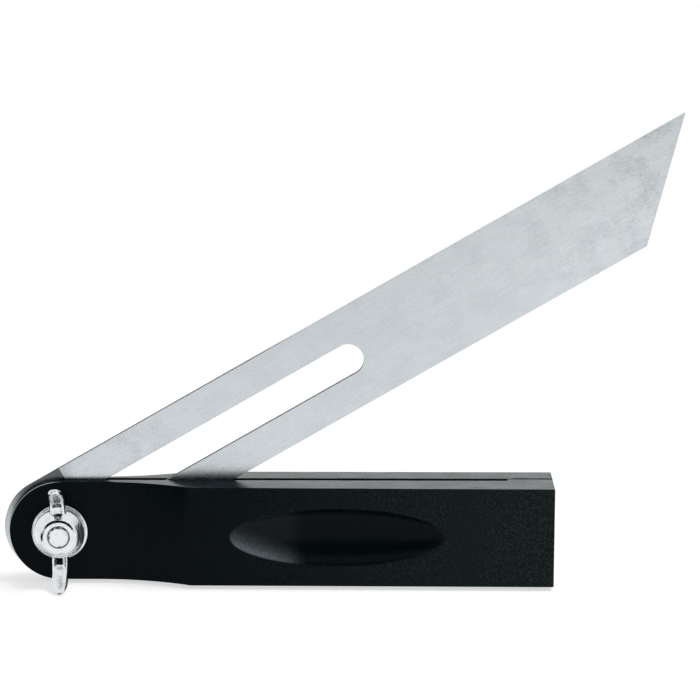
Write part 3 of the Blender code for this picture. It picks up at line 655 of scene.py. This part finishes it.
def steel_material(finish):
    """Ground steel with clumps of dashes, painted shade on the round end by the pivot and on the edges.
    """
    made, tree, shader = new_material("ground_steel")
    spot = blade_space(tree)
    along, _, across = axis_parts(tree, spot)
    streaks = group_node(tree, "ground_streaks", streak_group, Length=finish.streak_length,
                         Width=finish.streak_width)
    tree.links.new(spot, streaks.inputs["Place"])
    by_tip = spread(tree, along, blade_length * 0.60, blade_length * 0.90)
    ground = ground_colour(tree, streaks, along, by_tip, finish)
    # Painted shade on the round end by the pivot, fading out at its far left.
    fade = finish.shade_fade
    in_shade = spread(tree, along, finish.shade_reach + fade, finish.shade_reach - fade)
    shade_fades_left = spread(tree, along, -finish.shade_reach * 1.5, -finish.shade_reach * 0.2)
    shaded = blend_colours(tree, times(tree, in_shade, shade_fades_left), ground, finish.shaded)
    facing = group_node(tree, "facing", facing_group)
    # Painted shade on the downward corners of the edges towards the tip.
    under = times(tree, facing.outputs["Corner"], facing.outputs["Down"])
    under_shaded = blend_colours(tree, times(tree, under, by_tip), shaded, finish.edge_shade)
    # Painted shade on the blade's thin edges.
    rim = edge_shade_mask(tree, facing, along, across, finish)
    tree.links.new(blend_colours(tree, rim, under_shaded, finish.edge_shade), shader.inputs["Base Color"])
    tree.links.new(blend_values(tree, rim, 1, 0), shader.inputs["Metallic"])
    rough = blend_values(tree, streaks.outputs["Streaks"], finish.roughness - 0.01,
                         finish.roughness + 0.03)
    rim_rough = maths(tree, 'ADD', rough, times(tree, rim, 0.3))
    tree.links.new(rim_rough, shader.inputs["Roughness"])
    set_entries(shader, Specular_IOR_Level=finish.edge_sheen)
    bump(tree, shader, streaks.outputs["Dashes"], finish.dash_depth)
    return made


def plated_material(name, finish, tone, level):
    """Plated metal with soft waves, duller patches, pits and painted shade in its corners."""
    made, tree, shader = new_material(name)
    plating = group_node(tree, "plating", plating_group, Wave=finish.wave_size)
    edge = group_node(tree, "edge_wear", edge_group, Width=finish.worn_edge, Breakup=0.4)
    corner_shade = group_node(tree, "corner_shade", corner_shade_group, Reach=finish.corner_shade_reach)
    layers = (
        (plating.outputs["Patches"], 0.3, finish.shade),
        (plating.outputs["Pits"], 0.8, finish.pit_and_shade),
        # Painted shade in corners and hollows.
        (corner_shade.outputs["Mask"], 0.8, finish.pit_and_shade),
        (edge.outputs["Mask"], 0.5, finish.bright),
    )
    for mask, strength, layer in layers:
        tone = blend_colours(tree, times(tree, mask, strength), tone, layer)
    tree.links.new(tone, shader.inputs["Base Color"])
    rough = blend_values(tree, plating.outputs["Patches"], level - 0.03, level + 0.08)
    tree.links.new(rough, shader.inputs["Roughness"])
    set_entries(shader, Metallic=1)
    bump(tree, shader, plating.outputs["Height"], finish.wave_depth)
    return made


# Pieces
def blade_turn():
    """Angle about Y that lays the blade along X."""
    return -Vector((blade_along.x, blade_along.z)).angle_signed(Vector((1, 0)))


def dress(node, material, ease, steps=2, from_angle=24):
    """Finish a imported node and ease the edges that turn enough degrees; its mesh stays as it is."""
    piece = frame["nodes"][node]
    for slot in piece.material_slots:
        slot.material = material
    piece.data.shade_smooth()
    weld = piece.modifiers.new("Weld", 'WELD')
    weld.merge_threshold = WELD
    flat = piece.modifiers.new("Whole faces", 'DECIMATE')
    flat.decimate_type = 'DISSOLVE'
    flat.angle_limit = radians(WHOLE_FACE_ANGLE)
    eased = piece.modifiers.new("Eased edges", 'BEVEL')
    eased.width = ease
    eased.segments = steps
    eased.limit_method = 'ANGLE'
    eased.angle_limit = radians(from_angle)
    eased.use_clamp_overlap = False
    even = piece.modifiers.new("Even shading", 'WEIGHTED_NORMAL')
    even.mode = 'FACE_AREA'
    even.weight = EVEN_WEIGHT


def stand_for(piece, node):
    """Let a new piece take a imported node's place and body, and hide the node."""
    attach(piece, frame["nodes"][node]["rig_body"])
    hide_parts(node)


def link_mesh(name, shape):
    """A new object, made from a shape that is then freed."""
    bmesh.ops.recalc_face_normals(shape, faces=shape.faces)
    mesh = bpy.data.meshes.new(name)
    shape.to_mesh(mesh)
    shape.free()
    piece = bpy.data.objects.new(name, mesh)
    bpy.context.scene.collection.objects.link(piece)
    return piece


def freeze(piece, helpers=()):
    """Replace a piece's mesh by the one its modifiers make, and remove its helpers."""
    bpy.context.view_layer.update()
    graph = bpy.context.evaluated_depsgraph_get()
    mesh = bpy.data.meshes.new_from_object(piece.evaluated_get(graph))
    piece.modifiers.clear()
    piece.data = mesh
    for helper in helpers:
        bpy.data.objects.remove(helper)


def shade(piece, material, sharp_from):
    """Finish a made piece, smooth but for the edges that turn by more degrees than given."""
    piece.data.materials.clear()
    piece.data.materials.append(material)
    piece.data.shade_smooth()
    piece.data.set_sharp_from_angle(angle=radians(sharp_from))


def ringed_body(name, rings):
    """A closed body of rings round the bolt's axis: (height towards the viewer, radius by turn)."""
    shape = bmesh.new()
    rows = []
    for height, radius in rings:
        row = []
        for index in range(TURN_SIDES):
            turn = 2 * pi * index / TURN_SIDES
            size = radius(turn, height) if callable(radius) else radius
            spoke = Vector((cos(turn), 0, sin(turn)))
            row.append(shape.verts.new(pivot + spoke * size + VIEWER * height))
        rows.append(row)
    for first, second in zip(rows, rows[1:]):
        for index in range(TURN_SIDES):
            after = (index + 1) % TURN_SIDES
            shape.faces.new((first[index], first[after], second[after], second[index]))
    shape.faces.new(rows[0])
    shape.faces.new(rows[-1])
    return link_mesh(name, shape)


def add_boolean(piece, other, operation):
    cut = piece.modifiers.new(operation.title(), 'BOOLEAN')
    cut.operation = operation
    cut.solver = 'EXACT'
    cut.object = other


def between(first, second, share):
    """A value a share of the way from the first to the second."""
    return first + (second - first) * share


def smooth_step(low, high, value):
    share = min(1, max(0, (value - low) / (high - low)))
    return share * share * (3 - 2 * share)


def wing_line(share, nut):
    """A point of a wing's middle line and its direction there, a share of the way to its end."""
    bend = Vector((nut.shoulder, nut.shoulder_height))
    points = [
        Vector((0, nut.root_height)),
        Vector((nut.shoulder / 2, nut.root_height)),
        bend,
        bend,
        Vector((nut.reach, nut.rise)),
    ]
    while len(points) > 2:
        points = [first.lerp(second, share) for first, second in zip(points, points[1:])]
    return points[0].lerp(points[1], share), (points[1] - points[0]).normalized()


def fullness(left, round_length):
    """How full a rounded end is, from 1 to 0, with some length left to its tip."""
    past = max(0, 1 - left / round_length)
    return max(0, 1 - past ** 2) ** 0.5


def flute(across, share, nut):
    """Depth of the hollow along a wing's inner side, closed by an arch before its end."""
    ends = 1 - smooth_step(*FLUTE_CLOSES, share)
    width = FLUTE_WIDTH * smooth_step(*FLUTE_OPENS, share)
    if width <= abs(across):
        return 0
    return nut.flute_depth * ends * (1 - (across / width) ** 2) ** FLUTE_ROUNDNESS


def wing_point(on_ball, nut):
    """Where a point of a unit ball, with its poles on Z, lies on the bar that makes both wings."""
    share = abs(on_ball.z)
    (out, up), (run, climb) = wing_line(share, nut)
    left = nut.reach - out
    depth = between(nut.root_depth, nut.end_depth, share)
    turn = atan2(on_ball.y, on_ball.x)
    across = copysign(abs(cos(turn)) ** SQUARENESS, cos(turn))
    inward = copysign(abs(sin(turn)) ** SQUARENESS, sin(turn))
    outer_width = between(nut.root_width, nut.end_width, share)
    width = between(outer_width, nut.inner_width, (1 + inward) / 2)
    height = fullness(left, nut.end_round) * depth / 2 * inward
    if inward > 0:
        height -= flute(across, share, nut) * inward
    sideways = fullness(left, nut.end_length) * width / 2 * across
    side = copysign(1, on_ball.z)
    return Vector((sideways, -(up + run * height), side * (out - climb * height)))


def wing_bar(nut):
    """Both wings as one bar across the hub, turned a little from upright."""
    shape = bmesh.new()
    bmesh.ops.create_uvsphere(shape, u_segments=WING_SEGMENTS, v_segments=WING_RINGS, radius=1)
    seat = Matrix.Translation(pivot + VIEWER * nut_base) @ Matrix.Rotation(-nut.turn, 4, 'Y')
    for vertex in shape.verts:
        vertex.co = seat @ wing_point(vertex.co, nut)
    return link_mesh("wing_bar", shape)


def cast_wing_nut(nut, material):
    """Hub and wings run together as one casting, then bored."""
    top = nut_base + nut.hub_height
    piece = ringed_body("winged_nut", [
        (nut_base, nut.hub_base - nut.hub_round),
        (nut_base + nut.hub_round, nut.hub_base),
        (nut_base + nut.hub_skirt, nut.hub_base),
        (top - nut.hub_lip, nut.hub_top + nut.hub_lip * 2 / 3),
        (top - nut.hub_lip / 3, nut.hub_top),
        (top, nut.hub_top - nut.hub_lip),
    ])
    wings = wing_bar(nut)
    add_boolean(piece, wings, 'UNION')
    cast = piece.modifiers.new("Cast", 'REMESH')
    cast.mode = 'VOXEL'
    cast.voxel_size = nut.cell
    soften = piece.modifiers.new("Soften", 'SMOOTH')
    soften.factor = 0.5
    soften.iterations = 3
    freeze(piece, [wings])
    bore = ringed_body("bore", [
        (nut_base - OVERRUN, nut.bore + nut.bore_base),
        (nut_base + nut.bore_base, nut.bore),
        (top - nut.bore_top, nut.bore),
        (top + OVERRUN, nut.bore + nut.bore_top + OVERRUN),
    ])
    add_boolean(piece, bore, 'DIFFERENCE')
    freeze(piece, [bore])
    shade(piece, material, CAST_EDGE_ANGLE)
    stand_for(piece, "wing_nut")


def thread(bolt, nut):
    """Radius of the bolt's thread by turn and height; its crest meets the hub's rim low at the left."""
    rim = nut_base + nut.hub_height
    shift = bolt.start / (2 * pi) - rim / bolt.pitch

    def radius(turn, height):
        phase = (height / bolt.pitch - turn / (2 * pi) + shift) % 1
        return between(bolt.root, bolt.crest, smooth_step(0.20, 0.80, abs(2 * phase - 1)))

    return radius


def square_neck(half):
    """Radius of a square section by turn, its corners taken off."""
    def radius(turn, height):
        return min(half / max(abs(cos(turn)), abs(sin(turn))), half * 1.3)
    return radius


def clamping_bolt(bolt, nut, material):
    """A domed bolt with a square neck, a plain shank and a rolled thread."""
    cut = thread(bolt, nut)
    step = bolt.pitch / THREAD_STEPS
    count = round(bolt.thread_length / step)
    rings = [(bolt_tip, bolt.crest - bolt.chamfer)]
    for index in range(1, count):
        height = bolt_tip - index * step
        limit = bolt.crest - bolt.chamfer + index * step
        rings.append((height, lambda turn, level, cap=limit: min(cut(turn, level), cap)))
    seat = -(bolt_seat_depth - bolt.head_rise)
    rings += [
        (bolt_tip - count * step, bolt.shank),
        (seat + bolt.neck_length, bolt.shank),
        (seat + bolt.neck_length, square_neck(bolt.neck)),
        (seat, square_neck(bolt.neck)),
        (seat, bolt.head - bolt.head_ease),
        (seat - bolt.head_ease, bolt.head),
        (seat - bolt.rim, bolt.head),
    ]
    dome = bolt.head_rise - bolt.rim
    for index in range(1, DOME_STEPS):
        turn = pi / 2 * index / DOME_STEPS
        rings.append((seat - bolt.rim - dome * sin(turn), bolt.head * cos(turn)))
    piece = ringed_body("clamping_bolt", rings)
    shade(piece, material, BOLT_EDGE_ANGLE)
    stand_for(piece, "clamp_bolt")


class SLIDINGBEVEL_OT_handle(bpy.types.Operator):
    """Finish the two moulded halves of the handle"""
    bl_idname = "slidingbevel.handle"
    bl_label = "Handle halves"

    def execute(self, context):
        finish = context.scene.bevel_handle
        plastic = plastic_material(finish)
        for node in ("front_half", "back_half"):
            dress(node, plastic, finish.ease, from_angle=HANDLE_EDGE_ANGLE)
        return {'FINISHED'}


class SLIDINGBEVEL_OT_blade(bpy.types.Operator):
    """Finish the slotted steel blade"""
    bl_idname = "slidingbevel.blade"
    bl_label = "Blade"

    def execute(self, context):
        finish = context.scene.bevel_blade
        dress("blade", steel_material(finish), finish.edge)
        return {'FINISHED'}


class SLIDINGBEVEL_OT_hardware(bpy.types.Operator):
    """Make the wing nut and the bolt, and finish the washers and the screws"""
    bl_idname = "slidingbevel.hardware"
    bl_label = "Plated hardware"

    def execute(self, context):
        scene = context.scene
        finish = scene.bevel_hardware
        bright = plated_material("bright_plating", finish, finish.bright, finish.roughness)
        dull = plated_material("plain_plating", finish, finish.dull, finish.dull_roughness)
        cast_wing_nut(scene.bevel_nut, bright)
        clamping_bolt(scene.bevel_bolt, scene.bevel_nut, bright)
        dress("flat_washer", bright, finish.edge, 3)
        for node in ("upper_screw", "lower_screw"):
            dress(node, dull, finish.edge)
        for node in ("front_friction_washer", "back_friction_washer"):
            dress(node, dull, finish.edge / 4)
        return {'FINISHED'}


# Studio
def lamp(name, size, strength, position, target):
    """A square lamp facing a target, which shiny surfaces do not mirror."""
    light = bpy.data.lights.new(name, 'AREA')
    light.size = size
    light.energy = strength
    made = bpy.data.objects.new(name, light)
    bpy.context.scene.collection.objects.link(made)
    made.location = position
    made.visible_glossy = False
    made.rotation_euler = (Vector(target) - Vector(position)).to_track_quat('-Z', 'Y').to_euler()


def seen_directly(tree):
    """1 for camera, glossy and transmitted rays, 0 for the light that falls on things."""
    path = tree.nodes.new('ShaderNodeLightPath')
    glossy = maths(tree, 'MAXIMUM', path.outputs["Is Camera Ray"], path.outputs["Is Glossy Ray"])
    return maths(tree, 'MAXIMUM', glossy, path.outputs["Is Transmission Ray"])


def mix_shaders(tree, mask, first, second, target):
    """Mix two shaders by a mask, into the tree's output."""
    mix = tree.nodes.new('ShaderNodeMixShader')
    tree.links.new(mask, mix.inputs[0])
    join(tree, first, 0, mix, 1)
    join(tree, second, 0, mix, 2)
    join(tree, mix, 0, tree.nodes[target], "Surface")


def floor_material(studio):
    """Pale matt paper that keeps a soft shadow near the tool and is plain white far off."""
    made, tree, shader = new_material("pale_floor")
    spot = own_space(tree)
    fibres = noise(tree, spot, FIBRE_SCALE, 4, 0.6)
    pale = tuple(value * 0.985 for value in studio.floor)
    tree.links.new(blend_colours(tree, fibres, studio.floor, pale), shader.inputs["Base Color"])
    set_entries(shader, Roughness=0.9, Specular_IOR_Level=0)
    bump(tree, shader, fibres, studio.fibre_depth)
    white = add(tree, 'ShaderNodeEmission', Strength=1)
    fade = spread(tree, vector_maths(tree, 'LENGTH', spot), studio.white_from, studio.white_to)
    plain = times(tree, blend_values(tree, fade, studio.lift, 1), seen_directly(tree))
    mix_shaders(tree, plain, shader, white, "Material Output")
    return made


def card_material(studio):
    """Black felt."""
    made, tree, shader = new_material("black_felt")
    nap = noise(tree, own_space(tree), NAP_SCALE, 3, 0.6)
    pale = tuple(value * 3 for value in studio.felt)
    tree.links.new(blend_colours(tree, nap, studio.felt, pale), shader.inputs["Base Color"])
    set_entries(shader, Roughness=1, Specular_IOR_Level=0)
    bump(tree, shader, nap, studio.nap_depth)
    return made


def dark_card(name, width, depth, position, tilt, material):
    """A black card that shiny surfaces mirror; the camera and the light pass it by."""
    bpy.ops.mesh.primitive_grid_add(x_subdivisions=4, y_subdivisions=4, size=1)
    card = bpy.context.object
    card.name = name
    card.scale = (width, depth, 1)
    card.location = position
    card.rotation_euler = (tilt, 0, 0)
    card.data.materials.append(material)
    for ray in ("camera", "diffuse", "transmission", "volume_scatter", "shadow"):
        setattr(card, "visible_" + ray, False)


def white_world(strength):
    """Even light from all round, which is plain white where it is seen or mirrored."""
    world = bpy.data.worlds.new("studio")
    bpy.context.scene.world = world
    world.use_nodes = True
    tree = world.node_tree
    soft = tree.nodes["Background"]
    set_entries(soft, Color=(1, 1, 1, 1), Strength=strength)
    plain = add(tree, 'ShaderNodeBackground', Color=(1, 1, 1, 1), Strength=1)
    mix_shaders(tree, seen_directly(tree), soft, plain, "World Output")


class SLIDINGBEVEL_OT_stage(bpy.types.Operator):
    """Lay the floor, place the lamps and the cards, and aim the camera"""
    bl_idname = "slidingbevel.stage"
    bl_label = "Stage"

    def execute(self, context):
        studio = context.scene.bevel_studio
        bpy.ops.mesh.primitive_grid_add(x_subdivisions=20, y_subdivisions=20, size=studio.floor_size)
        floor = context.object
        floor.name = "floor"
        floor.data.materials.append(floor_material(studio))
        white_world(studio.world)
        middle = Vector((0, 0, pivot.z))
        lamp("key_lamp", studio.key_size, studio.key_power, middle + Vector(studio.key_place), middle)
        lamp("side_lamp", studio.side_size, studio.side_power, studio.side_place, pivot)
        felt = card_material(studio)
        dark_card("front_card", studio.front_width, studio.front_depth,
                  pivot + Vector(studio.front_place), studio.front_tilt, felt)
        dark_card("left_card", studio.left_width, studio.left_depth,
                  pivot + Vector(studio.left_place), 0, felt)
        self.aim_camera(context, studio)
        context.scene.view_settings.view_transform = 'Standard'
        return {'FINISHED'}

    def aim_camera(self, context, studio):
        data = bpy.data.cameras.new("camera")
        data.lens = studio.lens
        data.clip_start = NEAREST
        camera = bpy.data.objects.new("camera", data)
        context.scene.collection.objects.link(camera)
        turn = Matrix.Rotation(-studio.azimuth, 4, 'Z')
        tilt = Matrix.Rotation(pi / 2 - studio.elevation, 4, 'X')
        roll = Matrix.Rotation(studio.roll, 4, 'Z')
        back = Matrix.Translation((0, 0, studio.distance))
        camera.matrix_world = Matrix.Translation(pivot + Vector(studio.aim)) @ turn @ tilt @ back @ roll
        context.scene.camera = camera


class SLIDINGBEVEL_PT_panel(bpy.types.Panel):
    """Lists the pieces and the stage of the sliding bevel"""
    bl_label = "Sliding bevel"
    bl_idname = "SLIDINGBEVEL_PT_panel"
    bl_space_type = 'VIEW_3D'
    bl_region_type = 'UI'
    bl_category = "Sliding bevel"

    def draw(self, context):
        for operator in OPERATORS:
            self.layout.operator(operator.bl_idname)


OPERATORS = (
    SLIDINGBEVEL_OT_handle,
    SLIDINGBEVEL_OT_blade,
    SLIDINGBEVEL_OT_hardware,
    SLIDINGBEVEL_OT_stage,
)
SETTINGS = {
    "bevel_handle": HandleFinish,
    "bevel_blade": BladeFinish,
    "bevel_hardware": HardwareFinish,
    "bevel_nut": NutShape,
    "bevel_bolt": BoltShape,
    "bevel_studio": StudioSettings,
}


def register():
    for name, group in SETTINGS.items():
        bpy.utils.register_class(group)
        setattr(bpy.types.Scene, name, PointerProperty(type=group))
    for operator in OPERATORS:
        bpy.utils.register_class(operator)
    bpy.utils.register_class(SLIDINGBEVEL_PT_panel)


def unregister():
    bpy.utils.unregister_class(SLIDINGBEVEL_PT_panel)
    for operator in reversed(OPERATORS):
        bpy.utils.unregister_class(operator)
    for name, group in SETTINGS.items():
        delattr(bpy.types.Scene, name)
        bpy.utils.unregister_class(group)


def main():
    register()
    bpy.ops.slidingbevel.handle()
    bpy.ops.slidingbevel.blade()
    bpy.ops.slidingbevel.hardware()
    bpy.ops.slidingbevel.stage()


if __name__ == "__main__":
    main()
